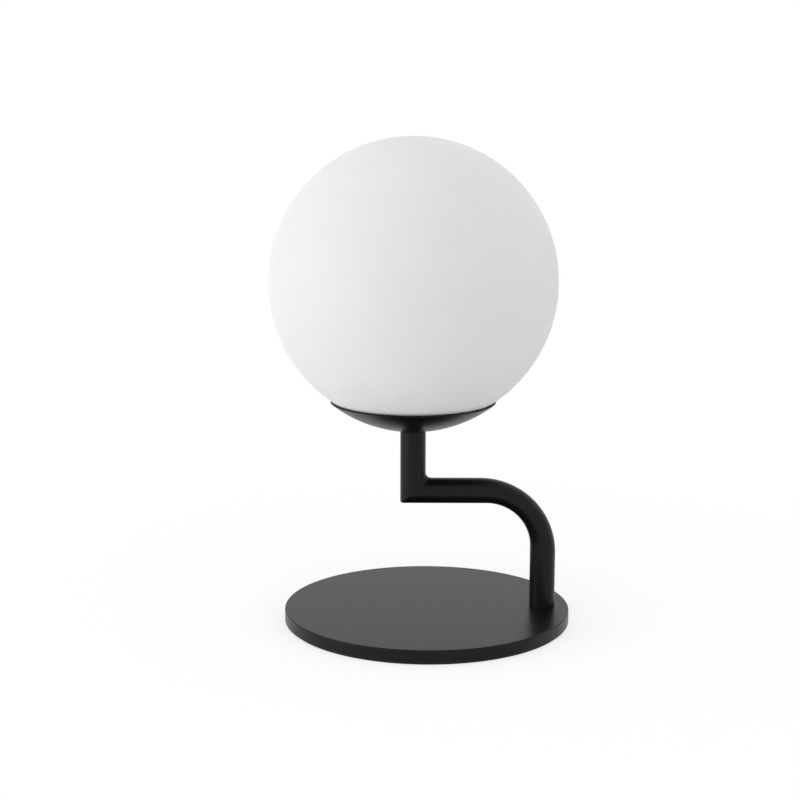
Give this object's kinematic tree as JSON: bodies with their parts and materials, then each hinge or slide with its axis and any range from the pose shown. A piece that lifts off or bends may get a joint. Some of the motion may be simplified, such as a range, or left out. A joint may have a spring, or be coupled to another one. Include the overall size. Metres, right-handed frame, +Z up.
{
  "type": "glass globe table lamp",
  "caption": "Small table lamp: opal glass ball in a shallow metal cup, on a bent round tube that rises off-centre from a flat disc base.",
  "frame": {"origin": "centre of the round base's underside, on the table", "axes": "+Z up; +X from the globe's axis towards the post, along the level arm; +Y to the rear, where the cord inlet is"},
  "size_m": [0.1175, 0.1124, 0.1905],
  "materials": {
    "black_powder_coat": "satin black powder coat",
    "foam_pad": "closed-cell foam",
    "grommet_rubber": "moulded rubber",
    "bare_steel": "ground weld",
    "zinc_plate": "bright zinc plate",
    "spring_steel": "rolled strip",
    "silicone": "translucent silicone",
    "steatite": "unglazed ceramic",
    "contact_brass": "stamped",
    "live_insulation": "extruded",
    "neutral_insulation": "extruded",
    "glass_fibre_sleeve": "braided",
    "splice_shrink": "shrunk tube",
    "bulb_plastic": "moulded",
    "bulb_cover": "milky polycarbonate",
    "pin_wire": "drawn wire",
    "led_board": "white solder mask",
    "led_phosphor": "cast",
    "opal_glass": "blown opal, etched outside"
  },
  "bodies": {
    "stand": {"base_plate": "black_powder_coat", "base_pad": "foam_pad", "foot_weld": "bare_steel", "cord_grommet": "grommet_rubber", "arm_tube": "black_powder_coat", "riser_tube": "black_powder_coat", "corner_weld": "black_powder_coat", "neck_ring": "black_powder_coat", "shade_cup": "black_powder_coat", "glass_carrier": "zinc_plate", "mouth_gasket": "silicone", "spring_clips": "spring_steel", "cup_nipple": "zinc_plate", "cup_washer": "zinc_plate", "cup_nut": "zinc_plate", "live_lead": "live_insulation", "neutral_lead": "neutral_insulation", "lead_sleeves": "glass_fibre_sleeve", "lead_splices": "splice_shrink", "socket_bracket": "zinc_plate", "socket_body": "steatite", "socket_contacts": "contact_brass", "socket_screws": "zinc_plate"},
    "bulb": {"bulb_base": "bulb_plastic", "bulb_envelope": "bulb_cover", "bulb_pins": "pin_wire", "led_board": "led_board", "led_chips": "led_phosphor"},
    "globe": {"glass_globe": "opal_glass"}
  },
  "joints": [
    {"name": "globe_lift", "type": "slide", "parent": "stand", "child": "globe", "axis": [0, 0, 1], "range_m": [0, 0.072]},
    {"name": "bulb_pull", "type": "slide", "parent": "stand", "child": "bulb", "axis": [0, 0, 1], "range_m": [0, 0.014]}
  ]
}
